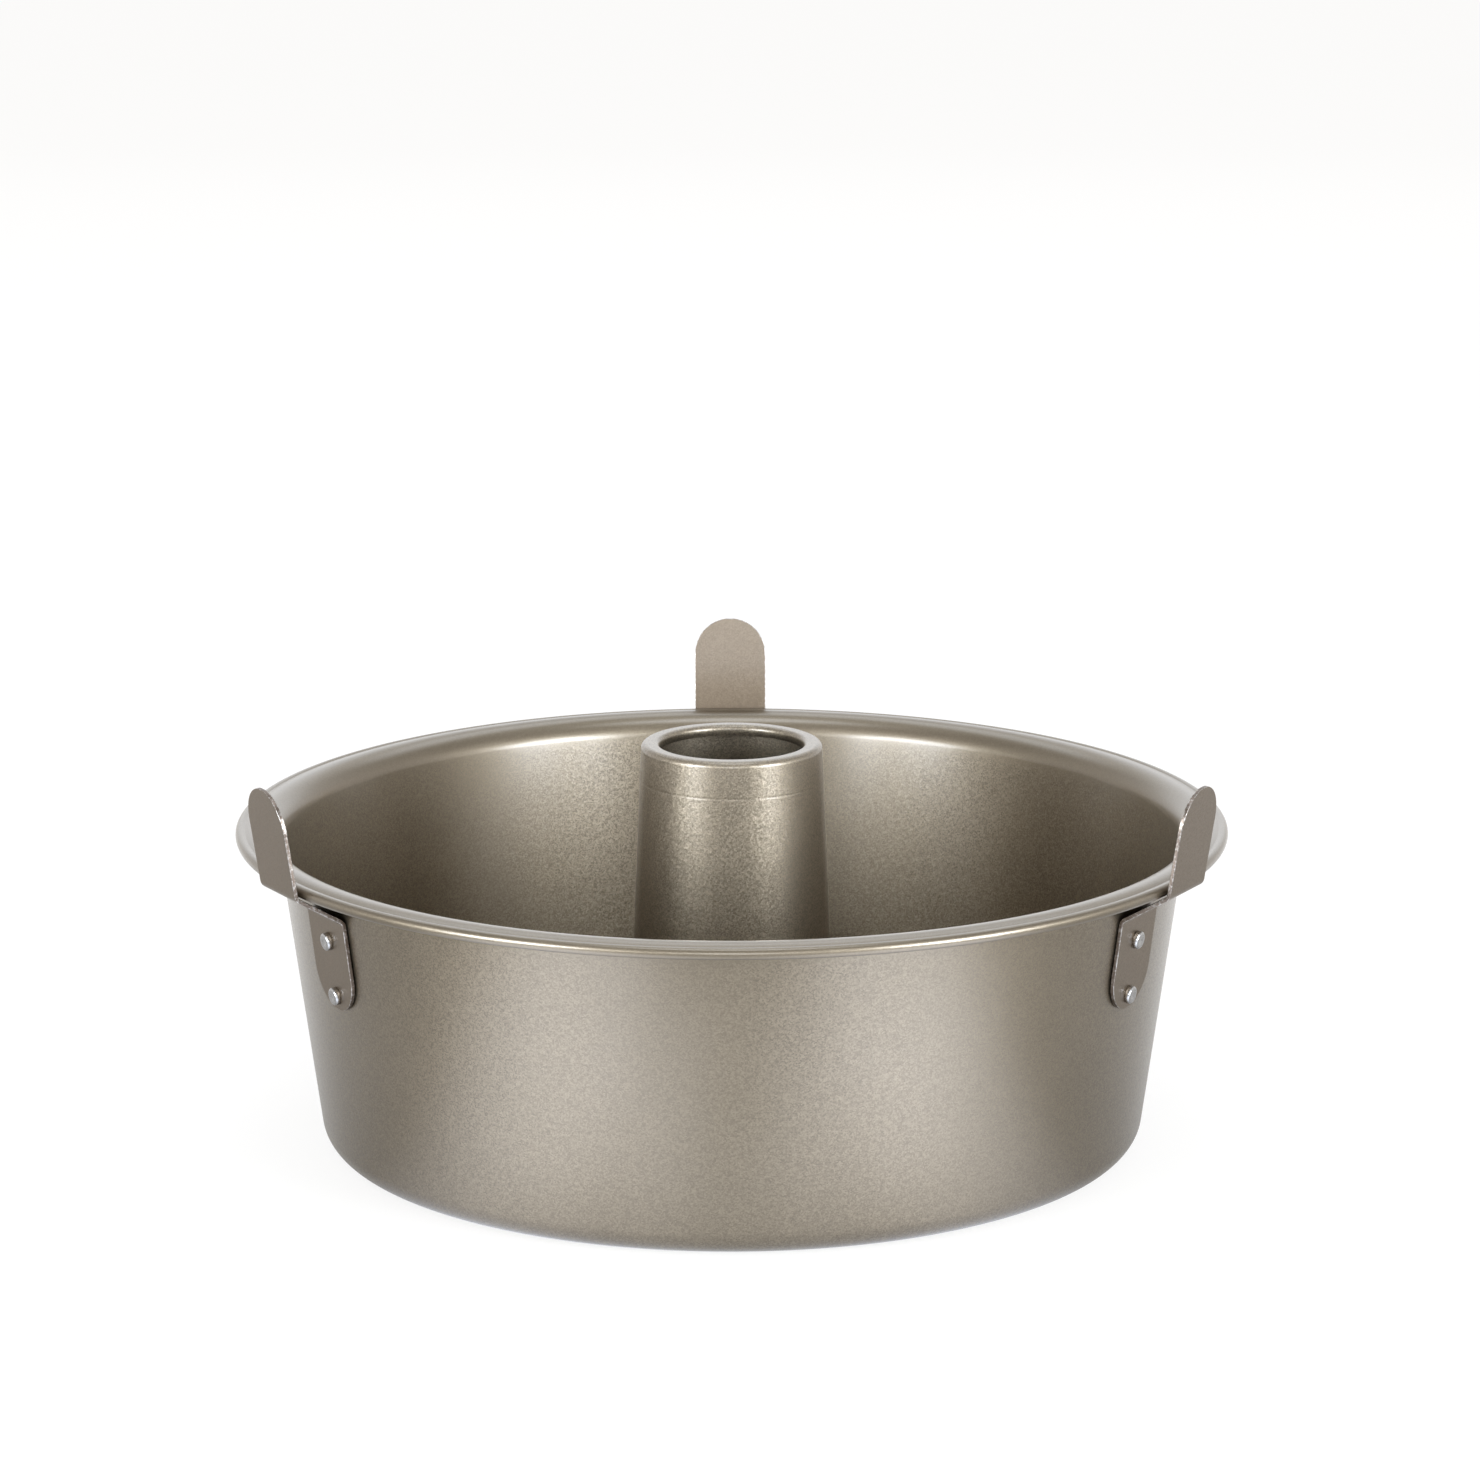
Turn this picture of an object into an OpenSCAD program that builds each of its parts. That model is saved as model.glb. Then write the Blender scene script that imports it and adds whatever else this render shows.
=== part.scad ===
/* [Pan wall] */
// Diameter over the rolled rim
rim_d = 267; // [200:1:320]
// Height from the table to the top of the flared lip
pan_h = 88.1; // [70:0.1:120]
// Lean of the wall from upright, in degrees
wall_lean = 7.8; // [3:0.1:12]
// Thickness of the steel sheet
sheet = 0.8; // [0.6:0.05:1]
// Outer radius of the corner between the wall and the bottom
corner_r = 7.5; // [4:0.1:12]
// Flat width of the ledge that carries the loose bottom
ledge_w = 9; // [6:0.5:14]

/* [Rim] */
// Radius of the flared lip, on its upper side
lip_r = 6.8; // [5.5:0.1:9]
// Distance from the crest of the lip out to the middle of the bead
bead_reach = 4.1; // [3.8:0.1:5]
// Depth of the middle of the bead below the crest of the lip
bead_drop = 2; // [1.7:0.1:2.4]
// Diameter of the rolled bead
bead_d = 3.1; // [2.8:0.1:3.6]
// Radius of the groove between the lip and the bead, at the middle of the sheet
groove_r = 0.8; // [0.6:0.1:1.4]
// Turn of the sheet round the rim wire, in degrees
curl_turn = 300; // [240:5:310]
// Clearance between the rim wire and the sheet round it
wire_play = 0.05; // [0.02:0.01:0.2]

/* [Loose bottom] */
// Clearance between the edge of the disc and the start of the shell's corner
disc_play = 0.5; // [0.3:0.1:2]
// Depth of the pressed step that centres the disc in the ledge
step_h = 0.6; // [0.3:0.1:0.6]
// Clearance between that step and the edge of the ledge
step_play = 0.5; // [0.3:0.1:2]
// Width of the raised ring round the tube
boss_w = 7; // [6:0.5:12]

/* [Centre tube] */
// Height from the table to the top of the tube
tube_h = 108.7; // [90:0.1:150]
// Outer diameter of the tube at its shoulder
tube_d = 48.9; // [44:0.1:60]
// Widening of the tube towards its foot, in degrees from upright
tube_taper = 2.4; // [0.5:0.1:5]
// Outer radius of the shoulder
shoulder_r = 1.7; // [1.4:0.1:4]
// Flat width of the tube's top, between the shoulder and the rolled edge
top_flat = 2; // [0.2:0.1:3]
// Radius of the edge that rolls down into the mouth
mouth_roll_r = 1.3; // [1.2:0.1:2]
// Straight length of the rolled edge inside the mouth
mouth_lip = 1.5; // [1:0.1:6]
// Width of the flange that is folded out under the disc
flange_w = 4.5; // [3:0.5:5]
// Height of the folded flange over the table
flange_lift = 0.3; // [0.2:0.1:0.6]
// Clearance between the tube and the hole in the disc
seam_play = 0.1; // [0.05:0.05:0.3]
// Radius of the swaged ring that holds the disc down on the flange
swage_r = 0.9; // [0.6:0.1:1.5]

/* [Feet] */
// Width of the strip
foot_w = 20.6; // [14:0.1:30]
// Thickness of the strip
foot_t = 1; // [0.8:0.1:2]
// Radius of the strip's round ends, beyond half its width
end_extra = 0.25; // [0.1:0.05:1]
// Length of the plate on the wall, from the bend to its round end
plate_l = 26; // [22:0.5:34]
// Length of the tab above the shelf, from the bend to its round end
tab_l = 28.5; // [20:0.5:45]
// Lean of the tab from upright, in degrees
tab_lean = 9.2; // [0:0.1:12]
// Rise of the shelf that passes below the bead, in degrees
shelf_rise = 31; // [20:1:40]
// Depth of the first bend below the crest of the lip
foot_drop = 11.1; // [10:0.1:16]
// Inside radius of the bends
foot_bend_r = 1.5; // [0.8:0.1:2]
// Clearance between the bead and the tab
tab_play = 1.1; // [0.4:0.1:3]

/* [Rivets] */
// Diameter of the rivet heads
head_d = 4.8; // [4:0.1:6.5]
// Height of the round-edged outer head
head_h = 1.4; // [0.8:0.1:1.8]
// Radius of the outer head's round edge
head_round = 0.7; // [0.3:0.1:0.8]
// Height of the flat inner head
tail_h = 0.8; // [0.5:0.1:1.2]
// Diameter of the rivet shank
shank_d = 3; // [2:0.1:3.5]
// Clearance round the shank, and under the plate and the inner head
rivet_play = 0.05; // [0.03:0.01:0.15]
// Distance from the round end of the plate to the lower rivet
rivet_edge = 3.9; // [3.5:0.1:6]
// Distance between the two rivets of a foot
rivet_pitch = 15.2; // [9:0.1:16]

/* [Hidden] */
$fn = 96;
arc_step = 8;
back_angle = 90;
left_angle = 210;
right_angle = 330;
coating = "#a39b8c";
strip_coating = "#8a8078";
bare_steel = "#b9bcc0";
bare_aluminium = "#d4d4d6";

// Points and directions in the half section, as radius and height
function along(angle) = [cos(angle), sin(angle)];
function angle_to(a, b) = atan2(b[1] - a[1], b[0] - a[0]);
function opposite_angle(a, b, c) = acos((a * a + b * b - c * c) / (2 * a * b));
function arc(centre, r, from, to) =
    let (steps = ceil(abs(to - from) / arc_step))
    [for (i = [0 : steps]) centre + r * along(from + (to - from) * i / steps)];

// Rim: middle of the bead, centre of the lip's arc, centre of the groove's arc between them
bead_r = bead_d / 2;
bead_c = [rim_d / 2 - bead_r, pan_h - bead_drop];
lip_c = [bead_c[0] - bead_reach, pan_h - lip_r];
lip_to_bead = norm(bead_c - lip_c);
lip_to_groove = lip_r - sheet / 2 + groove_r;
bead_to_groove = bead_r - sheet / 2 + groove_r;
lip_end = angle_to(lip_c, bead_c) + opposite_angle(lip_to_bead, lip_to_groove, bead_to_groove);
groove_c = lip_c + lip_to_groove * along(lip_end);
curl_start = angle_to(bead_c, groove_c);

// Wall: its upward direction, its outward normal, and its outer line from the lip to the corner
wall_up = along(90 - wall_lean);
wall_out = along(-wall_lean);
wall_top = lip_c - (lip_r - sheet) * wall_out;
corner_c = [wall_top[0] + ((corner_r - wall_top[1]) * sin(wall_lean) - corner_r) / cos(wall_lean),
            corner_r];
ledge_in = corner_c[0] - ledge_w;

// Loose bottom: the disc lies on the ledge, and its middle drops by the pressed step
disc_r = corner_c[0] - disc_play;
panel_r = ledge_in - step_play;
panel_z = sheet - step_h;
boss_z = flange_lift + sheet;

// Tube: centres of the shoulder and of the rolled edge, and the outer line down to the flange
shoulder_c = [tube_d / 2 - shoulder_r, tube_h - shoulder_r];
mouth_c = [shoulder_c[0] - top_flat, tube_h - mouth_roll_r];
mouth_r = mouth_c[0] - mouth_roll_r;
tube_top = shoulder_c + shoulder_r * along(tube_taper);
function tube_r(z) = tube_top[0] + (tube_top[1] - z) * tan(tube_taper);
hole_r = tube_r(boss_z) + seam_play;
flange_r = tube_r(flange_lift) + flange_w;
boss_r = tube_r(boss_z) + boss_w;

// Feet: corners of the strip's outer face, at the plate's bend and at the tab's bend
tab_up = along(90 - tab_lean);
tab_out = along(-tab_lean);
shelf_dir = along(shelf_rise);
plate_seat = wall_top + wall_up * (pan_h - foot_drop - wall_top[1]) / wall_up[1];
plate_bend = plate_seat + (rivet_play + foot_t) * wall_out;
tab_offset = (bead_c - plate_bend) * tab_out + bead_r + tab_play + foot_t;
tab_bend = plate_bend + shelf_dir * tab_offset / (shelf_dir * tab_out);
plate_end = plate_bend - plate_l * wall_up;
tab_end = tab_bend + tab_l * tab_up;
plate_cut = foot_bend_r * tan((90 - wall_lean - shelf_rise) / 2);
tab_cut = (foot_bend_r + foot_t) * tan((90 - tab_lean - shelf_rise) / 2);
plate_bend_c = plate_bend - plate_cut * wall_up + foot_bend_r * wall_out;
tab_bend_c = tab_bend + tab_cut * tab_up - (foot_bend_r + foot_t) * tab_out;
lower_rivet = plate_l - rivet_edge;
upper_rivet = lower_rivet - rivet_pitch;

module ring_section(r_in, r_out, z, height) {
    translate([r_in, z]) square([r_out - r_in, height]);
}

// Places children in the upright plane of a foot, turned to its side of the pan
module at_foot(side) {
    rotate([0, 0, side]) children();
}

// Places children on the wall's outer face, with +Z pointing out of the pan
module at_rivet(side, down) {
    seat = plate_seat - down * wall_up;
    at_foot(side) translate([seat[0], 0, seat[1]]) rotate([0, 90 + wall_lean, 0]) children();
}

module shank_hole(side, down) {
    at_rivet(side, down) cylinder(r = shank_d / 2 + rivet_play, h = 4 * (foot_t + sheet), center = true);
}

module rivet(side, down) {
    under = sheet + rivet_play;
    over = rivet_play + foot_t;
    head_r = head_d / 2;
    inner_head = [[0, -under - tail_h], [head_r, -under - tail_h], [head_r, -under]];
    shank = [[shank_d / 2, -under], [shank_d / 2, over]];
    outer_head = concat([[head_r, over]],
        arc([head_r - head_round, over + head_h - head_round], head_round, 0, 90),
        [[0, over + head_h]]);
    color(bare_aluminium) at_rivet(side, down) rotate_extrude()
        polygon(concat(inner_head, shank, outer_head));
}

// Cuts a strip's square end round
module round_end(end, angle) {
    r = foot_w / 2 + end_extra;
    translate([end[0], 0, end[1]]) rotate([0, -angle, 0]) difference() {
        translate([-r, -foot_w, -4 * foot_t]) cube([2 * r, 2 * foot_w, 8 * foot_t]);
        translate([-r, 0, -5 * foot_t]) cylinder(r = r, h = 10 * foot_t);
    }
}

module foot(side) {
    outer_face = concat([plate_end],
        arc(plate_bend_c, foot_bend_r, 180 - wall_lean, shelf_rise + 90),
        arc(tab_bend_c, foot_bend_r + foot_t, shelf_rise - 90, -tab_lean),
        [tab_end]);
    inner_face = concat([tab_end - foot_t * tab_out],
        arc(tab_bend_c, foot_bend_r, -tab_lean, shelf_rise - 90),
        arc(plate_bend_c, foot_bend_r + foot_t, shelf_rise + 90, 180 - wall_lean),
        [plate_end - foot_t * wall_out]);
    color(strip_coating) difference() {
        at_foot(side) difference() {
            rotate([90, 0, 0]) linear_extrude(foot_w, center = true)
                polygon(concat(outer_face, inner_face));
            round_end(plate_end, 270 - wall_lean);
            round_end(tab_end, 90 - tab_lean);
        }
        shank_hole(side, upper_rivet);
        shank_hole(side, lower_rivet);
    }
}

module pan_shell() {
    outer_face = concat([[ledge_in, 0]],
        arc(corner_c, corner_r, -90, -wall_lean),
        arc(lip_c, lip_r - sheet, 180 - wall_lean, lip_end),
        arc(groove_c, groove_r + sheet / 2, lip_end + 180, curl_start + 180),
        arc(bead_c, bead_r - sheet, curl_start, curl_start - curl_turn));
    inner_face = concat(
        arc(bead_c, bead_r, curl_start - curl_turn, curl_start),
        arc(groove_c, groove_r - sheet / 2, curl_start + 180, lip_end + 180),
        arc(lip_c, lip_r, lip_end, 180 - wall_lean),
        arc(corner_c, corner_r - sheet, -wall_lean, -90),
        [[ledge_in, sheet]]);
    color(coating) difference() {
        rotate_extrude() polygon(concat(outer_face, inner_face));
        for (side = [back_angle, left_angle, right_angle], down = [upper_rivet, lower_rivet])
            shank_hole(side, down);
    }
}

module rim_wire() {
    color(bare_steel) rotate_extrude() translate(bead_c) circle(bead_r - sheet - wire_play);
}

module base_disc() {
    color(coating) rotate_extrude() {
        ring_section(panel_r - sheet, disc_r, sheet, sheet);
        ring_section(panel_r - sheet, panel_r, panel_z, 2 * sheet - panel_z);
        ring_section(boss_r, panel_r, panel_z, sheet);
        ring_section(boss_r, boss_r + sheet, panel_z, boss_z + sheet - panel_z);
        ring_section(hole_r, boss_r + sheet, boss_z, sheet);
    }
}

module centre_tube() {
    flange_top = flange_lift + sheet;
    swage_z = flange_top + sheet + seam_play + swage_r;
    outer_face = concat([[flange_r, flange_lift], [flange_r, flange_top], [tube_r(flange_top), flange_top]],
        arc([tube_r(swage_z), swage_z], swage_r, tube_taper - 90, tube_taper + 90),
        arc(shoulder_c, shoulder_r, tube_taper, 90),
        arc(mouth_c, mouth_roll_r, 90, 180),
        [[mouth_r, mouth_c[1] - mouth_lip]]);
    inner_face = concat([[mouth_r + sheet, mouth_c[1] - mouth_lip]],
        arc(mouth_c, mouth_roll_r - sheet, 180, 90),
        arc(shoulder_c, shoulder_r - sheet, 90, tube_taper),
        [[tube_r(flange_lift) - sheet / cos(tube_taper), flange_lift]]);
    color(coating) rotate_extrude() polygon(concat(outer_face, inner_face));
}

module foot_back() { foot(back_angle); }
module foot_left() { foot(left_angle); }
module foot_right() { foot(right_angle); }
module rivet_back_upper() { rivet(back_angle, upper_rivet); }
module rivet_back_lower() { rivet(back_angle, lower_rivet); }
module rivet_left_upper() { rivet(left_angle, upper_rivet); }
module rivet_left_lower() { rivet(left_angle, lower_rivet); }
module rivet_right_upper() { rivet(right_angle, upper_rivet); }
module rivet_right_lower() { rivet(right_angle, lower_rivet); }

pan_shell();
rim_wire();
base_disc();
centre_tube();
foot_back();
foot_left();
foot_right();
rivet_back_upper();
rivet_back_lower();
rivet_left_upper();
rivet_left_lower();
rivet_right_upper();
rivet_right_lower();
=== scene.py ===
from math import acos, atan2, ceil, cos, degrees, pi, radians, sin, tan

import bmesh
import bpy
from mathutils import Matrix, Quaternion, Vector


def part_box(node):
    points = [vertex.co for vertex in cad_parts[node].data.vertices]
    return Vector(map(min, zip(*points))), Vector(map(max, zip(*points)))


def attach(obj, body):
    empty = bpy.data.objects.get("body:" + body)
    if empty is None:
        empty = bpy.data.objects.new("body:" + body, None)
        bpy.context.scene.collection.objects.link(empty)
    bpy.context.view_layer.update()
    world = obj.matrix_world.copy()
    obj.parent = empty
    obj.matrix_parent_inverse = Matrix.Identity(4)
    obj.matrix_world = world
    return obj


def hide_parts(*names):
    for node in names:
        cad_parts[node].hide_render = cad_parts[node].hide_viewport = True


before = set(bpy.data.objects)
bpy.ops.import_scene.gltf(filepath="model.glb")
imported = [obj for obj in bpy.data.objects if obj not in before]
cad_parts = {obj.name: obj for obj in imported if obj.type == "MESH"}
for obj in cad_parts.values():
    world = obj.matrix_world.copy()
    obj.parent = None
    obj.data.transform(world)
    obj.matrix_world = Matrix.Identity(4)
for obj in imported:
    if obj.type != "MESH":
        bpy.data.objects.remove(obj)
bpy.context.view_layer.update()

# Camera: a long lens on a square frame, looking down by 13 degrees, as product pictures are taken.
# Its place and turn were fitted to the rim, the foot of the wall and the three feet.
mm = 0.001
camera_at = Vector((-4.1, -1440.3, 448.7)) * mm
camera_pitch = 0.2315
camera_yaw = 0.0044
camera_roll = -0.001
sensor_w = 36
lens_px = 5500
photo_px = 1480

view_data = bpy.data.cameras.new("view")
view_data.sensor_width = sensor_w
view_data.lens = sensor_w * lens_px / photo_px
view_data.clip_start = 0.05
view = bpy.data.objects.new("view", view_data)
bpy.context.scene.collection.objects.link(view)
view.matrix_world = (
    Matrix.Translation(camera_at)
    @ Matrix.Rotation(-camera_yaw, 4, "Z")
    @ Matrix.Rotation(pi / 2 - camera_pitch, 4, "X")
    @ Matrix.Rotation(camera_roll, 4, "Z")
)
bpy.context.scene.camera = view
bpy.context.scene.view_settings.view_transform = "Standard"

# Pan shell: one sheet of steel, deep drawn, with a ledge left in the bottom for the loose disc.
# The top is flared to a lip, and its edge is rolled round a wire, which leaves a groove and a bead.
# It is sprayed inside and out with a champagne non-stick coating full of metal flakes.
sheet = 0.8 * mm
wall_lean = 7.8
corner_r = 7.5 * mm
ledge_w = 9 * mm
lip_r = 6.8 * mm
bead_reach = 4.1 * mm
bead_drop = 2 * mm
bead_r = 1.55 * mm
groove_r = 0.8 * mm
curl_turn = 300
straight_run = 2 * mm
ledge_run = 4 * mm
same_point = 0.0001 * mm
rim_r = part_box("pan_shell")[1].x
pan_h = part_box("pan_shell")[1].z


def along(angle):
    """Direction at an angle in degrees, in the half section, as radius and height."""
    return Vector((cos(radians(angle)), sin(radians(angle))))


def angle_to(a, b):
    return degrees(atan2(b.y - a.y, b.x - a.x))


def arc(centre, r, start, end, step=5):
    """Points of an arc in the half section, from one angle to another in degrees."""
    steps = ceil(abs(end - start) / step)
    return [centre + r * along(start + (end - start) * i / steps) for i in range(steps + 1)]


bead_c = Vector((rim_r - bead_r, pan_h - bead_drop))
lip_c = Vector((bead_c.x - bead_reach, pan_h - lip_r))
lip_to_bead = (bead_c - lip_c).length
lip_to_groove = lip_r - sheet / 2 + groove_r
bead_to_groove = bead_r - sheet / 2 + groove_r
groove_cos = (lip_to_bead**2 + lip_to_groove**2 - bead_to_groove**2) / (2 * lip_to_bead * lip_to_groove)
lip_end = angle_to(lip_c, bead_c) + degrees(acos(groove_cos))
groove_c = lip_c + lip_to_groove * along(lip_end)
curl_start = angle_to(bead_c, groove_c)
wall_up = along(90 - wall_lean)
wall_out = along(-wall_lean)
wall_top = lip_c - (lip_r - sheet) * wall_out
lean = radians(wall_lean)
corner_c = Vector((wall_top.x + ((corner_r - wall_top.y) * sin(lean) - corner_r) / cos(lean), corner_r))
ledge_in = corner_c.x - ledge_w


def finish_piece(name, mesh, materials):
    """Object from a bmesh, with doubled points merged and all faces smooth."""
    bmesh.ops.remove_doubles(mesh, verts=mesh.verts, dist=same_point)
    bmesh.ops.recalc_face_normals(mesh, faces=mesh.faces)
    for face in mesh.faces:
        face.smooth = True
    data = bpy.data.meshes.new(name)
    mesh.to_mesh(data)
    mesh.free()
    for material in materials:
        data.materials.append(material)
    piece = bpy.data.objects.new(name, data)
    bpy.context.scene.collection.objects.link(piece)
    return piece


def weight_normals(piece):
    """Lets the smooth shading follow the larger faces."""
    weights = piece.modifiers.new("face_weighted_normals", "WEIGHTED_NORMAL")
    weights.keep_sharp = True


def lathe(name, outline, material, turns, closed=True):
    """Piece made by turning an outline round the Z axis. An open outline has both its ends on the axis."""
    mesh = bmesh.new()
    angles = [2 * pi * i / turns for i in range(turns)]
    rings = [[mesh.verts.new((p.x * cos(a), p.x * sin(a), p.y)) for a in angles] for p in outline]
    pairs = list(zip(rings, rings[1:] + rings[:1]))
    for low, high in pairs if closed else pairs[:-1]:
        for i in range(turns):
            j = (i + 1) % turns
            mesh.faces.new((low[i], low[j], high[j], high[i]))
    piece = finish_piece(name, mesh, [material])
    weight_normals(piece)
    return piece


def colour(hex_code):
    """Linear colour of an sRGB hex code."""
    levels = [int(hex_code[i : i + 2], 16) / 255 for i in (1, 3, 5)]
    return tuple(c / 12.92 if c <= 0.04045 else ((c + 0.055) / 1.055) ** 2.4 for c in levels) + (1,)


def add(material, kind, settings=None, inputs=None):
    """Adds a node to a material or a world. An input that is given a socket is linked to it."""
    tree = material.node_tree
    node = tree.nodes.new(kind)
    for name, value in (settings or {}).items():
        setattr(node, name, value)
    for name, value in (inputs or {}).items():
        if isinstance(value, bpy.types.NodeSocket):
            tree.links.new(value, node.inputs[name])
        else:
            node.inputs[name].default_value = value
    return node


def new_material(name):
    material = bpy.data.materials.new(name)
    material.use_nodes = True
    material.node_tree.nodes.clear()
    return material


# Non-stick coating with metal flakes, sprayed and baked on steel: satin, with a fine sparkle.
# Real flakes are about 0.05 mm; they are drawn 0.35 mm wide, so that they show in the picture.
# Where the sheet is stretched over the lip and the bead, the coating is smoother.
champagne_pale = "#7c705e"
champagne_deep = "#756956"
flake_size = 0.35 * mm
spray_size = 28 * mm
spray_unevenness = 0.03
smooth_from = pan_h - 9 * mm
smooth_to = pan_h - 5 * mm
smooth_gloss = 0.03


def flake_coating(name, pale, deep, contrast, tilt, roughness, gloss, clear=1, lip_smooth=0):
    """Coating with flakes that differ in tone and tilt, under a clear binder of some gloss and weight."""
    material = new_material(name)
    place = add(material, "ShaderNodeTexCoord").outputs["Object"]
    normal = add(material, "ShaderNodeNewGeometry").outputs["Normal"]
    spray = add(material, "ShaderNodeTexNoise", None,
                {"Vector": place, "Scale": 1 / spray_size, "Detail": 3, "Roughness": 0.5})
    flakes = add(material, "ShaderNodeTexVoronoi", None, {"Vector": place, "Scale": 1 / flake_size})
    flake = add(material, "ShaderNodeSeparateColor", None, {"Color": flakes.outputs["Color"]})
    height = add(material, "ShaderNodeSeparateXYZ", None, {"Vector": place})
    smooth = add(material, "ShaderNodeMapRange", {"interpolation_type": "SMOOTHSTEP"},
                 {"Value": height.outputs["Z"], "From Min": smooth_from, "From Max": smooth_to,
                  "To Min": 0, "To Max": lip_smooth})
    grain = add(material, "ShaderNodeMath", {"operation": "SUBTRACT"}, {0: 1, 1: smooth.outputs["Result"]})
    speck = add(material, "ShaderNodeMapRange", None,
                {"Value": flake.outputs["Red"], "To Min": -contrast, "To Max": contrast})
    shade = add(material, "ShaderNodeMath", {"operation": "MULTIPLY_ADD"},
                {0: speck.outputs["Result"], 1: grain.outputs["Value"], 2: 1})
    tone = add(material, "ShaderNodeMix", {"data_type": "RGBA"},
               {"Factor": spray.outputs["Fac"], "A": colour(deep), "B": colour(pale)})
    paint = add(material, "ShaderNodeVectorMath", {"operation": "SCALE"},
                {"Vector": tone.outputs["Result"], "Scale": shade.outputs["Value"]})
    level = add(material, "ShaderNodeVectorMath", {"operation": "MULTIPLY_ADD"},
                {0: flakes.outputs["Color"], 1: (tilt,) * 3, 2: (-tilt / 2,) * 3})
    leaning = add(material, "ShaderNodeVectorMath", {"operation": "SCALE"},
                  {"Vector": level.outputs["Vector"], "Scale": grain.outputs["Value"]})
    tilted = add(material, "ShaderNodeVectorMath", {"operation": "ADD"},
                 {0: normal, 1: leaning.outputs["Vector"]})
    unit = add(material, "ShaderNodeVectorMath", {"operation": "NORMALIZE"},
               {0: tilted.outputs["Vector"]})
    satin = add(material, "ShaderNodeMapRange", None,
                {"Value": spray.outputs["Fac"], "To Min": roughness - spray_unevenness,
                 "To Max": roughness + spray_unevenness})
    sheen = add(material, "ShaderNodeMath", {"operation": "MULTIPLY_ADD"},
                {0: smooth.outputs["Result"], 1: -smooth_gloss, 2: satin.outputs["Result"]})
    shader = add(material, "ShaderNodeBsdfPrincipled", None,
                 {"Base Color": paint.outputs["Vector"], "Metallic": 1, "Normal": unit.outputs["Vector"],
                  "Roughness": sheen.outputs["Value"], "Coat Weight": clear, "Coat Roughness": gloss})
    add(material, "ShaderNodeOutputMaterial", None, {"Surface": shader.outputs["BSDF"]})
    return material


shell_coating = flake_coating("champagne_nonstick_on_steel", champagne_pale, champagne_deep,
                              contrast=0.23, tilt=0.1, roughness=0.46, gloss=0.22, lip_smooth=0.7)
curl_end = curl_start - curl_turn
shell_outline = (
    [Vector((ledge_in, 0)), Vector((corner_c.x - ledge_run, 0))]
    + arc(corner_c, corner_r, -90, -wall_lean)
    + [corner_c + corner_r * wall_out + straight_run * wall_up, wall_top - straight_run * wall_up]
    + arc(lip_c, lip_r - sheet, 180 - wall_lean, lip_end)
    + arc(groove_c, groove_r + sheet / 2, lip_end + 180, curl_start + 180)
    + arc(bead_c, bead_r - sheet, curl_start, curl_end, step=15)
    + arc(bead_c, bead_r, curl_end, curl_start, step=8)
    + arc(groove_c, groove_r - sheet / 2, curl_start + 180, lip_end + 180, step=12)
    + arc(lip_c, lip_r, lip_end, 180 - wall_lean)
    + [lip_c - lip_r * wall_out - straight_run * wall_up,
       corner_c + (corner_r - sheet) * wall_out + straight_run * wall_up]
    + arc(corner_c, corner_r - sheet, -wall_lean, -90)
    + [Vector((corner_c.x - ledge_run, sheet)), Vector((ledge_in, sheet))]
)
pan_shell = lathe("pan_shell_coated", shell_outline, shell_coating, turns=360)
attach(pan_shell, "shell")
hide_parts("pan_shell")

# Rim wire: drawn steel wire that stiffens the rolled edge, and is seen only through its seam below.
# The wire keeps its own solid, with the fine uneven gloss of drawn steel.
wire_grain = 0.3 * mm
wire_steel = new_material("drawn_steel_wire")
wire_place = add(wire_steel, "ShaderNodeTexCoord").outputs["Object"]
wire_marks = add(wire_steel, "ShaderNodeTexNoise", None,
                 {"Vector": wire_place, "Scale": 1 / wire_grain, "Detail": 2})
wire_rough = add(wire_steel, "ShaderNodeMapRange", None,
                 {"Value": wire_marks.outputs["Fac"], "To Min": 0.25, "To Max": 0.45})
wire_shader = add(wire_steel, "ShaderNodeBsdfPrincipled", None,
                  {"Base Color": colour("#b9bcc0"), "Metallic": 1, "Roughness": wire_rough.outputs["Result"]})
add(wire_steel, "ShaderNodeOutputMaterial", None, {"Surface": wire_shader.outputs["BSDF"]})
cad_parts["rim_wire"].data.materials.clear()
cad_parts["rim_wire"].data.materials.append(wire_steel)

# Loose bottom: a pressed disc that lies on the shell's ledge, with its middle stepped down inside it.
# A ring is raised round the hole for the tube. Its coating is the shell's, duller and with little binder.
disc_play = 0.5 * mm
step_play = 0.5 * mm
step_h = 0.6 * mm
step_run = 1.2 * mm
boss_w = 7 * mm
boss_run = 2 * mm
edge_r = 0.2 * mm
flange_lift = 0.3 * mm
tube_taper = 2.4
tube_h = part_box("centre_tube")[1].z
shoulder_r = 1.7 * mm
tube_d = 48.9 * mm
seam_play = 0.1 * mm
disc_r = corner_c.x - disc_play
panel_r = ledge_in - step_play
panel_z = sheet - step_h
boss_z = flange_lift + sheet
shoulder_c = Vector((tube_d / 2 - shoulder_r, tube_h - shoulder_r))
tube_top = shoulder_c + shoulder_r * along(tube_taper)


def tube_r(z):
    """Outer radius of the tube at a height."""
    return tube_top.x + (tube_top.y - z) * tan(radians(tube_taper))


def bend(r, z, run, rise, steps=6):
    """Soft step in pressed sheet: a smooth rise over a short run outwards from r."""
    shares = [i / steps for i in range(steps + 1)]
    return [Vector((r + run * t, z + rise * t * t * (3 - 2 * t))) for t in shares]


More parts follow.
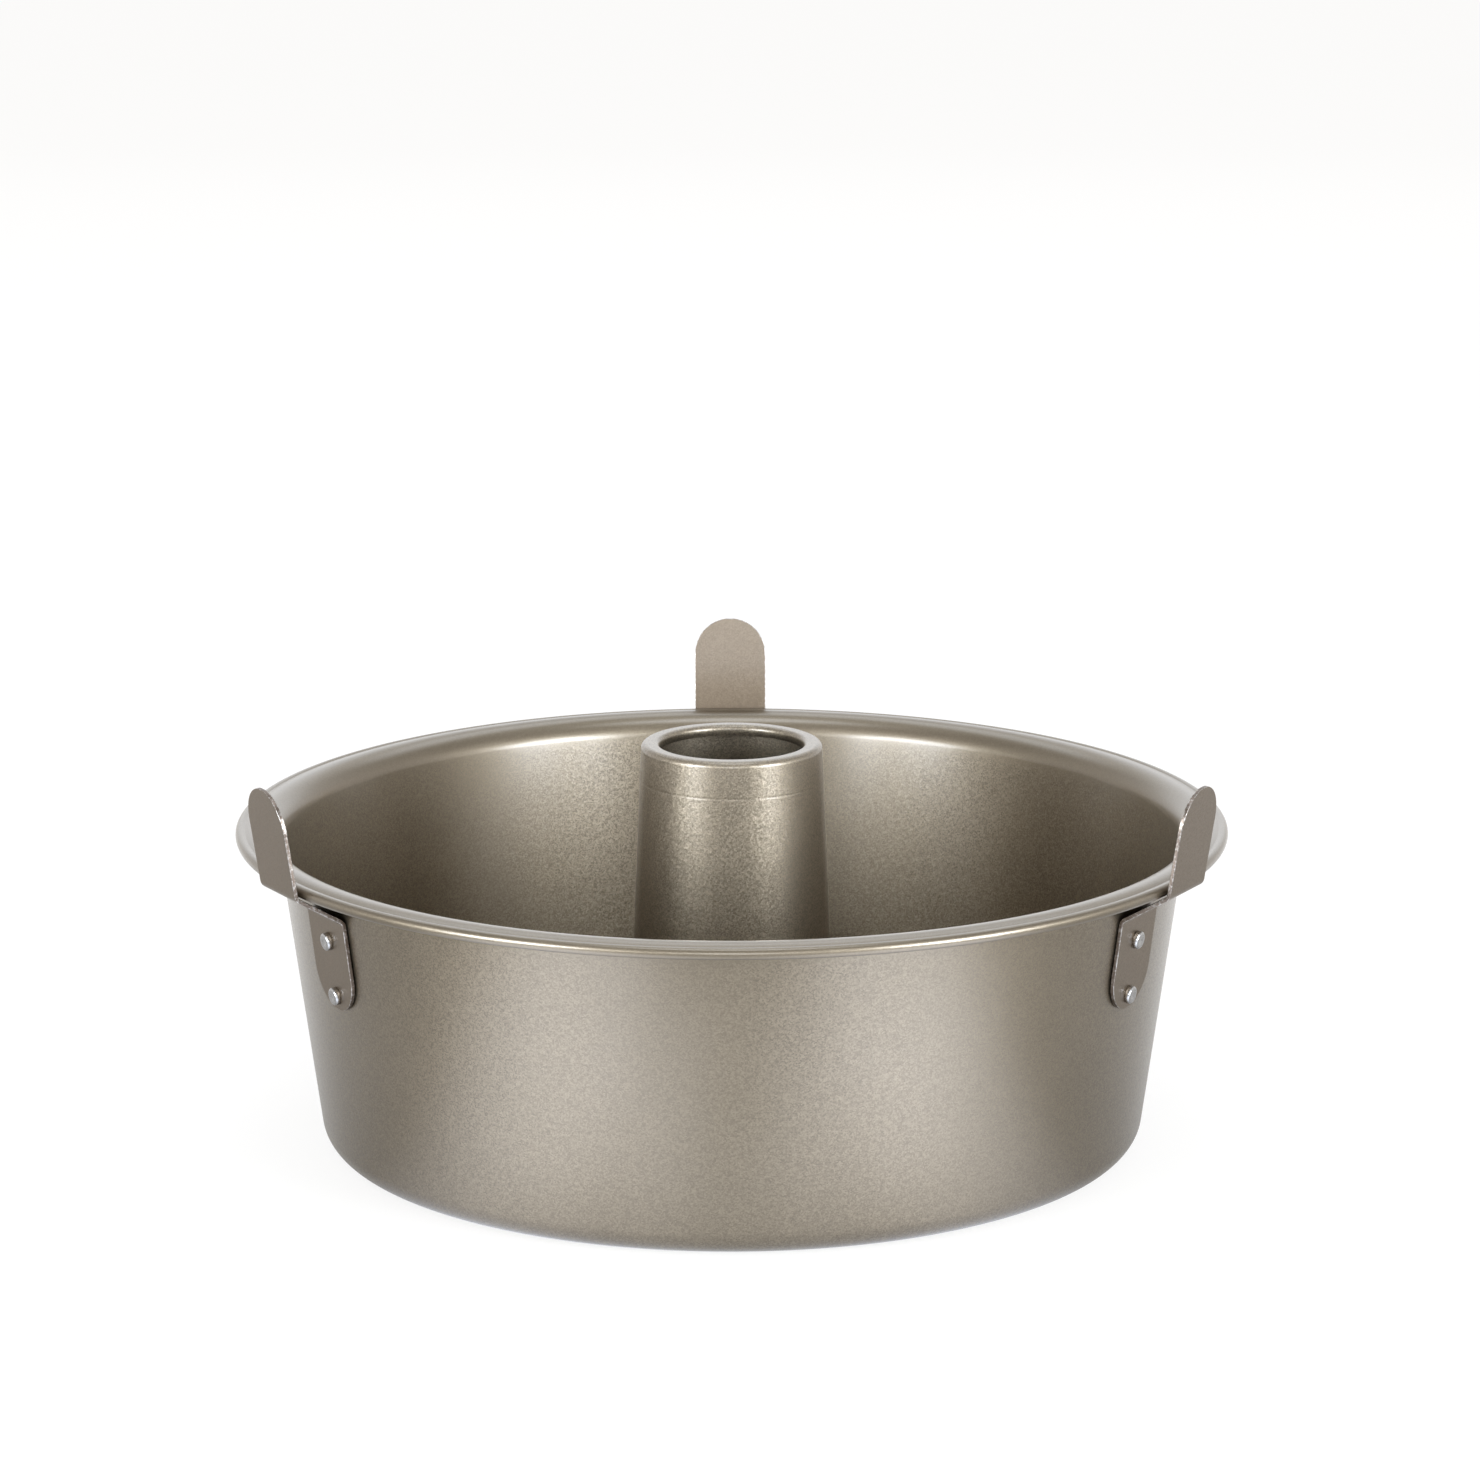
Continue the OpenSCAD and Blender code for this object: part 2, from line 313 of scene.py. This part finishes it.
hole_r = tube_r(boss_z) + seam_play
boss_r = tube_r(boss_z) + boss_w
disc_top = (
    [Vector((hole_r, boss_z + sheet))]
    + bend(boss_r - boss_run / 2, boss_z + sheet, boss_run, panel_z - boss_z)
    + bend(panel_r - step_run, panel_z + sheet, step_run, sheet - panel_z)
    + arc(Vector((disc_r - edge_r, 2 * sheet - edge_r)), edge_r, 90, 0, step=30)
)
disc_below = (
    arc(Vector((disc_r - edge_r, sheet + edge_r)), edge_r, 0, -90, step=30)
    + list(reversed(bend(panel_r - step_run, panel_z, step_run, sheet - panel_z)))
    + list(reversed(bend(boss_r - boss_run / 2, boss_z, boss_run, panel_z - boss_z)))
    + [Vector((hole_r, boss_z))]
)
disc_coating = flake_coating("champagne_nonstick_on_pressed_disc", champagne_pale, champagne_deep,
                             contrast=0.16, tilt=0.1, roughness=0.7, gloss=0.55, clear=0.12)
base_disc = lathe("base_disc_coated", disc_top + disc_below, disc_coating, turns=240)
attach(base_disc, "core")
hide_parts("base_disc")

# Centre tube: drawn from sheet, a little wider at its foot, with its top rolled down into the mouth.
# Its foot is folded out under the disc, and a ring swaged above holds the disc on that flange.
# Its coating is a little rougher than the shell's, and its tones are painted paler than the shell's: painted
# light, so that the tube shows brighter. The draw has left a faint line round it.
top_flat = 2 * mm
mouth_roll_r = 1.3 * mm
mouth_lip = 1.5 * mm
flange_w = 4.5 * mm
swage_r = 0.9 * mm
draw_line_z = 98.8 * mm
draw_line = 0.04 * mm
draw_dents = ((-0.6 * mm, 0), (-0.25 * mm, 0.4), (0, 1), (0.25 * mm, 0.4), (0.6 * mm, 0))
mouth_c = Vector((shoulder_c.x - top_flat, tube_h - mouth_roll_r))
mouth_r = mouth_c.x - mouth_roll_r
flange_r = tube_r(flange_lift) + flange_w
flange_top = flange_lift + sheet
swage_z = flange_top + sheet + seam_play + swage_r
# The tube's paler tones are painted light: the shell's coating lightened so that the tube shows brighter.
tube_coating = flake_coating("champagne_nonstick_on_drawn_tube", "#8b7f6d", "#837764",
                             contrast=0.22, tilt=0.12, roughness=0.48, gloss=0.22)
draw_step = [Vector((tube_r(draw_line_z + up) - draw_line * dent, draw_line_z + up))
             for up, dent in draw_dents]
tube_outline = (
    [Vector((flange_r - edge_r, flange_lift)), Vector((flange_r, flange_lift + edge_r)),
     Vector((flange_r, flange_top - edge_r)), Vector((flange_r - edge_r, flange_top)),
     Vector((tube_r(flange_top), flange_top))]
    + arc(Vector((tube_r(swage_z), swage_z)), swage_r, tube_taper - 90, tube_taper + 90, step=15)
    + draw_step
    + arc(shoulder_c, shoulder_r, tube_taper, 90)
    + arc(mouth_c, mouth_roll_r, 90, 180)
    + [Vector((mouth_r, mouth_c.y - mouth_lip)), Vector((mouth_r + sheet, mouth_c.y - mouth_lip))]
    + arc(mouth_c, mouth_roll_r - sheet, 180, 90, step=15)
    + arc(shoulder_c, shoulder_r - sheet, 90, tube_taper, step=15)
    + [Vector((tube_r(flange_lift) - sheet / cos(radians(tube_taper)), flange_lift))]
)
centre_tube = lathe("centre_tube_coated", tube_outline, tube_coating, turns=240)
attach(centre_tube, "core")
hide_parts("centre_tube")

# Feet: three strips of coated steel, bent round below the bead, that carry the pan upside down.
# Each is blanked with round ends, and on its cut edges the thin coating has worn to bright steel in spots; on
# the rounded corners the lighter tone is partly that wear and partly a painted highlight.
foot_w = 20.6 * mm
foot_t = 1 * mm
plate_l = 26 * mm
tab_l = 28.5 * mm
tab_lean = 9.2
shelf_rise = 31
foot_drop = 11.1 * mm
foot_bend_r = 1.5 * mm
tab_play = 1.1 * mm
rivet_play = 0.05 * mm
foot_angles = {"back": 90, "left": 210, "right": 330}
rounded_edge_width = 0.14 * mm
end_steps = 14
tab_out = along(-tab_lean)
tab_up = along(90 - tab_lean)
plate_seat = wall_top + wall_up * (pan_h - foot_drop - wall_top.y) / wall_up.y
plate_bend = plate_seat + (rivet_play + foot_t) * wall_out
tab_offset = (bead_c - plate_bend).dot(tab_out) + bead_r + tab_play + foot_t
tab_bend = plate_bend + along(shelf_rise) * tab_offset / along(shelf_rise).dot(tab_out)
plate_cut = foot_bend_r * tan(radians(90 - wall_lean - shelf_rise) / 2)
tab_cut = (foot_bend_r + foot_t) * tan(radians(90 - tab_lean - shelf_rise) / 2)
plate_bend_c = plate_bend - plate_cut * wall_up + foot_bend_r * wall_out
tab_bend_c = tab_bend + tab_cut * tab_up - (foot_bend_r + foot_t) * tab_out
outer_line = (
    [plate_bend - plate_l * wall_up]
    + arc(plate_bend_c, foot_bend_r, 180 - wall_lean, shelf_rise + 90, step=6)
    + arc(tab_bend_c, foot_bend_r + foot_t, shelf_rise - 90, -tab_lean, step=6)
    + [tab_bend + tab_l * tab_up]
)


def foot_rows():
    """Corners of the strip across its width, from the end of the plate to the end of the tab."""
    rows = []
    distances = [0]
    for a, b in zip(outer_line, outer_line[1:]):
        distances.append(distances[-1] + (b - a).length)
    end_r = foot_w / 2
    turns = [radians(90 * i / end_steps) for i in range(1, end_steps + 1)]
    lengths = [end_r * (1 - cos(t)) for t in turns]
    widths = [end_r * sin(t) for t in turns]
    stations = list(zip(lengths, widths))
    stations += [(d, end_r) for d in distances[1:-1]]
    stations += [(distances[-1] - d, w) for d, w in reversed(list(zip(lengths, widths)))]
    for distance, width in sorted(stations):
        i = max(k for k in range(len(distances) - 1) if distances[k] <= distance + same_point)
        heading = (outer_line[i + 1] - outer_line[i]).normalized()
        before = (outer_line[i] - outer_line[i - 1]).normalized() if i else heading
        at_corner = abs(distance - distances[i]) < same_point and i > 0
        mean = (heading + before).normalized() if at_corner else heading
        inward = Vector((-mean.y, mean.x)) * foot_t
        if at_corner:
            inward /= mean.dot(heading)
        point = outer_line[i] + heading * (distance - distances[i])
        rows.append((point, point + inward, width))
    return rows


def foot_strip(name, angle, materials):
    """One foot. Its materials are for its faces, its cut edges and its rounded corners, in that order."""
    mesh = bmesh.new()
    turn = Matrix.Rotation(radians(angle), 3, "Z")
    rings = []
    for outer, inner, width in foot_rows():
        corners = ((outer, -width), (outer, width), (inner, width), (inner, -width))
        rings.append([mesh.verts.new(turn @ Vector((p.x, y, p.y))) for p, y in corners])
    for low, high in zip(rings, rings[1:]):
        for i in range(4):
            j = (i + 1) % 4
            face = mesh.faces.new((low[i], low[j], high[j], high[i]))
            face.material_index = i % 2
    for end in (rings[0], rings[-1]):
        mesh.faces.new(end).material_index = 1
    piece = finish_piece(name, mesh, materials)
    rounding = piece.modifiers.new("rounded_edges", "BEVEL")
    rounding.width = rounded_edge_width
    rounding.segments = 2
    rounding.limit_method = "ANGLE"
    rounding.angle_limit = radians(50)
    rounding.material = 2
    weight_normals(piece)
    return piece


strip_coating = flake_coating("champagne_nonstick_on_strip", "#7b6d5c", "#746655",
                              contrast=0.08, tilt=0.06, roughness=0.4, gloss=0.15, clear=0.35)
wear_size = 0.9 * mm
wear_fade = 0.2


def cut_edge(name, coated, bright, wear_start):
    """Cut edge of the strip, where the coating has worn through to the steel in spots. Made lighter on the
    rounded corners, it is there also a painted highlight along the edge.
    """
    material = new_material(name)
    place = add(material, "ShaderNodeTexCoord").outputs["Object"]
    wear = add(material, "ShaderNodeTexNoise", None, {"Vector": place, "Scale": 1 / wear_size, "Detail": 3})
    bare = add(material, "ShaderNodeMapRange", None,
               {"Value": wear.outputs["Fac"], "From Min": wear_start, "From Max": wear_start + wear_fade})
    tone = add(material, "ShaderNodeMix", {"data_type": "RGBA"},
               {"Factor": bare.outputs["Result"], "A": colour(coated), "B": colour(bright)})
    shader = add(material, "ShaderNodeBsdfPrincipled", None,
                 {"Base Color": tone.outputs["Result"], "Metallic": 1, "Roughness": 0.35})
    add(material, "ShaderNodeOutputMaterial", None, {"Surface": shader.outputs["BSDF"]})
    return material


coated_edge = cut_edge("thin_coating_on_cut_steel", "#6f6359", "#a39c94", wear_start=0.5)
# Rounded corners: lighter than the cut faces, partly wear to bare steel and partly a painted highlight along
# the edge.
worn_highlit_edge = cut_edge("worn_coating_and_painted_highlight_on_steel_corner", "#7f746a", "#c2bdb6", wear_start=0.42)
for side, angle in foot_angles.items():
    foot = foot_strip(f"foot_{side}_strip", angle, [strip_coating, coated_edge, worn_highlit_edge])
    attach(foot, "shell")
    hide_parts(f"foot_{side}")

# Rivets: two solid aluminium rivets hold each foot, with a round-edged head outside and a flat one inside.
# They are set cold after coating, so they are bare and bright, with the marks of the tool on them.
head_r = 2.4 * mm
head_h = 1.4 * mm
head_round = 0.7 * mm
dimple = 0.15 * mm
dimple_r = 0.3 * mm
dimple_run = 0.9 * mm
tail_h = 0.8 * mm
shank_r = 1.5 * mm
rivet_end = 3.9 * mm
rivet_pitch = 15.2 * mm
rivet_downs = {"upper": plate_l - rivet_end - rivet_pitch, "lower": plate_l - rivet_end}
under = sheet + rivet_play
over = rivet_play + foot_t
rivet_outline = (
    [Vector((0, -under - tail_h))]
    + arc(Vector((head_r - edge_r, -under - tail_h + edge_r)), edge_r, -90, 0, step=30)
    + [Vector((head_r, -under)), Vector((shank_r, -under)), Vector((shank_r, over)),
       Vector((head_r, over))]
    + arc(Vector((head_r - head_round, over + head_h - head_round)), head_round, 0, 90, step=10)
    + list(reversed(bend(dimple_r, over + head_h - dimple, dimple_run, dimple)))
    + [Vector((0, over + head_h - dimple))]
)
mark_size = 0.5 * mm
mark_depth = 0.05 * mm
aluminium = new_material("cold_set_aluminium")
rivet_place = add(aluminium, "ShaderNodeTexCoord").outputs["Object"]
marks = add(aluminium, "ShaderNodeTexNoise", None,
            {"Vector": rivet_place, "Scale": 1 / mark_size, "Detail": 2})
mark_bump = add(aluminium, "ShaderNodeBump", None,
                {"Height": marks.outputs["Fac"], "Strength": 0.25, "Distance": mark_depth})
mark_rough = add(aluminium, "ShaderNodeMapRange", None,
                 {"Value": marks.outputs["Fac"], "To Min": 0.2, "To Max": 0.38})
rivet_shader = add(aluminium, "ShaderNodeBsdfPrincipled", None,
                   {"Base Color": colour("#b4b2b0"), "Metallic": 1, "Normal": mark_bump.outputs["Normal"],
                    "Roughness": mark_rough.outputs["Result"]})
add(aluminium, "ShaderNodeOutputMaterial", None, {"Surface": rivet_shader.outputs["BSDF"]})
for side, angle in foot_angles.items():
    for row, down in rivet_downs.items():
        rivet = lathe(f"rivet_{side}_{row}_head", rivet_outline, aluminium, turns=48, closed=False)
        seat = plate_seat - down * wall_up
        rivet.data.transform(
            Matrix.Rotation(radians(angle), 4, "Z")
            @ Matrix.Translation((seat.x, 0, seat.y))
            @ Matrix.Rotation(radians(90 + wall_lean), 4, "Y")
        )
        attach(rivet, "shell")
        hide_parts(f"rivet_{side}_{row}")

# Floor: a wide pale sweep. To the camera it is the picture's white ground, and part of its own shading
# stays in that, so it keeps the pan's shadow. In reflections it is dimmer in front of the pan than behind.
floor_half = 8
glow_to_camera = 0.8
glow_in_front = 0.33
glow_behind = 1
front_end = -0.12
back_start = 0.35
floor_mesh = bmesh.new()
bmesh.ops.create_grid(floor_mesh, x_segments=1, y_segments=1, size=floor_half)
matt_white = new_material("matt_white_sweep")
floor_rays = add(matt_white, "ShaderNodeLightPath").outputs
seen = add(matt_white, "ShaderNodeMath", {"operation": "MAXIMUM"},
           {0: floor_rays["Is Camera Ray"], 1: floor_rays["Is Glossy Ray"]})
glow_share = add(matt_white, "ShaderNodeMath", {"operation": "MULTIPLY"},
                 {0: seen.outputs["Value"], 1: glow_to_camera})
floor_place = add(matt_white, "ShaderNodeNewGeometry").outputs["Position"]
floor_depth = add(matt_white, "ShaderNodeSeparateXYZ", None, {"Vector": floor_place}).outputs["Y"]
reflected = add(matt_white, "ShaderNodeMapRange", {"interpolation_type": "SMOOTHSTEP"},
                {"Value": floor_depth, "From Min": front_end, "From Max": back_start,
                 "To Min": glow_in_front, "To Max": glow_behind})
brightness = add(matt_white, "ShaderNodeMapRange", None,
                 {"Value": floor_rays["Is Glossy Ray"], "To Min": 1, "To Max": reflected.outputs["Result"]})
paper = add(matt_white, "ShaderNodeBsdfDiffuse", None, {"Color": colour("#faf5ee")})
glow = add(matt_white, "ShaderNodeEmission", None,
           {"Color": colour("#ffffff"), "Strength": brightness.outputs["Result"]})
sweep = add(matt_white, "ShaderNodeMixShader", None,
            {0: glow_share.outputs["Value"], 1: paper.outputs["BSDF"], 2: glow.outputs["Emission"]})
add(matt_white, "ShaderNodeOutputMaterial", None, {"Surface": sweep.outputs["Shader"]})
floor = finish_piece("floor", floor_mesh, [matt_white])

# Light: soft boxes beside the camera, behind it, above the pan and behind the pan, and three lamps that
# lie on the floor in front of the pan and show in its outer wall as two bright bands. All fade towards
# their edges. Round them the world is white, dimmer overhead, with a plain light that fills the rest.
table_tint = "#e0ebff"
table_turn = 35
table_size = (0.24, 0.35)
# The three on the floor overlap, so each lies a little higher than the last.
table_z = (0.2 * mm, 0.4 * mm, 0.6 * mm)
fill_level = 0.85
ceiling_from = 0.15
ceiling_to = 0.8
ceiling_level = 0.6


def soft_box(name, place, aim, size, watts, even=0.2, turn=0, tint="#e6f1ff"):
    """Area lamp that faces its aim, bright in its middle and dark from its edge midpoints outwards."""
    middle = (0.5, 0.5, 0)
    edge = 0.5
    data = bpy.data.lights.new(name, "AREA")
    data.shape = "RECTANGLE"
    data.size, data.size_y = size
    data.energy = watts
    data.color = colour(tint)[:3]
    data.use_nodes = True
    data.node_tree.nodes.clear()
    across = add(data, "ShaderNodeNewGeometry").outputs["Parametric"]
    from_middle = add(data, "ShaderNodeVectorMath", {"operation": "DISTANCE"}, {0: across, 1: middle})
    fading = add(data, "ShaderNodeMapRange", {"interpolation_type": "SMOOTHSTEP"},
                 {"Value": from_middle.outputs["Value"], "From Min": edge, "From Max": even})
    emission = add(data, "ShaderNodeEmission", None, {"Strength": fading.outputs["Result"]})
    add(data, "ShaderNodeOutputLight", None, {"Surface": emission.outputs["Emission"]})
    lamp = bpy.data.objects.new(name, data)
    lamp.location = place
    lamp.rotation_mode = "QUATERNION"
    facing = (Vector(aim) - Vector(place)).to_track_quat("-Z", "Y")
    lamp.rotation_quaternion = facing @ Quaternion((0, 0, 1), radians(turn))
    lamp.visible_camera = False
    bpy.context.scene.collection.objects.link(lamp)


soft_box("soft_box_left", (-0.83, -0.74, 0.28), (0, 0, 0.2), (0.72, 0.58), watts=24, even=0.4)
soft_box("soft_box_right", (0.84, -0.73, 0.32), (0, 0, 0.2), (0.72, 0.66), watts=28, even=0.4)
soft_box("soft_box_camera", (0, -2.1, 0.55), (0, 0, 0.05), (1.2, 1.0), watts=21)
soft_box("soft_box_back", (0, 1.9, 0.75), (0, 0, 0.1), (3.2, 1.2), watts=6)
soft_box("soft_box_above", (0, -0.15, 1.5), (0, 0.1, 0), (1.3, 0.7), watts=13)
soft_box("soft_box_above_back", (0, 0.95, 1.35), (0, 0, 0.1), (2.6, 0.9), watts=14)
soft_box("table_light_left", (-0.121, -0.199, table_z[0]), (-0.121, -0.199, 1), table_size, watts=0.74,
         even=0.1, turn=table_turn, tint=table_tint)
soft_box("table_light_right", (0.125, -0.202, table_z[1]), (0.125, -0.202, 1), table_size, watts=0.8,
         even=0.1, turn=-table_turn, tint=table_tint)
soft_box("table_light_front", (0, -0.2, table_z[2]), (0, -0.2, 1), (0.12, 0.28), watts=0.06)
world = bpy.data.worlds.new("white_studio")
world.use_nodes = True
world.node_tree.nodes.clear()
bpy.context.scene.world = world
rays = add(world, "ShaderNodeLightPath").outputs
shown = add(world, "ShaderNodeMath", {"operation": "MAXIMUM"},
            {0: rays["Is Camera Ray"], 1: rays["Is Glossy Ray"]})
shown_through = add(world, "ShaderNodeMath", {"operation": "MAXIMUM"},
                    {0: shown.outputs["Value"], 1: rays["Is Transmission Ray"]})
fill = add(world, "ShaderNodeBackground", None, {"Color": colour("#ffffff"), "Strength": fill_level})
sky_place = add(world, "ShaderNodeTexCoord").outputs["Generated"]
sky_height = add(world, "ShaderNodeSeparateXYZ", None, {"Vector": sky_place}).outputs["Z"]
ceiling = add(world, "ShaderNodeMapRange", {"interpolation_type": "SMOOTHSTEP"},
              {"Value": sky_height, "From Min": ceiling_from, "From Max": ceiling_to,
               "To Min": 1, "To Max": ceiling_level})
white = add(world, "ShaderNodeBackground", None,
            {"Color": colour("#ffffff"), "Strength": ceiling.outputs["Result"]})
sky = add(world, "ShaderNodeMixShader", None,
          {0: shown_through.outputs["Value"], 1: fill.outputs["Background"], 2: white.outputs["Background"]})
add(world, "ShaderNodeOutputWorld", None, {"Surface": sky.outputs["Shader"]})
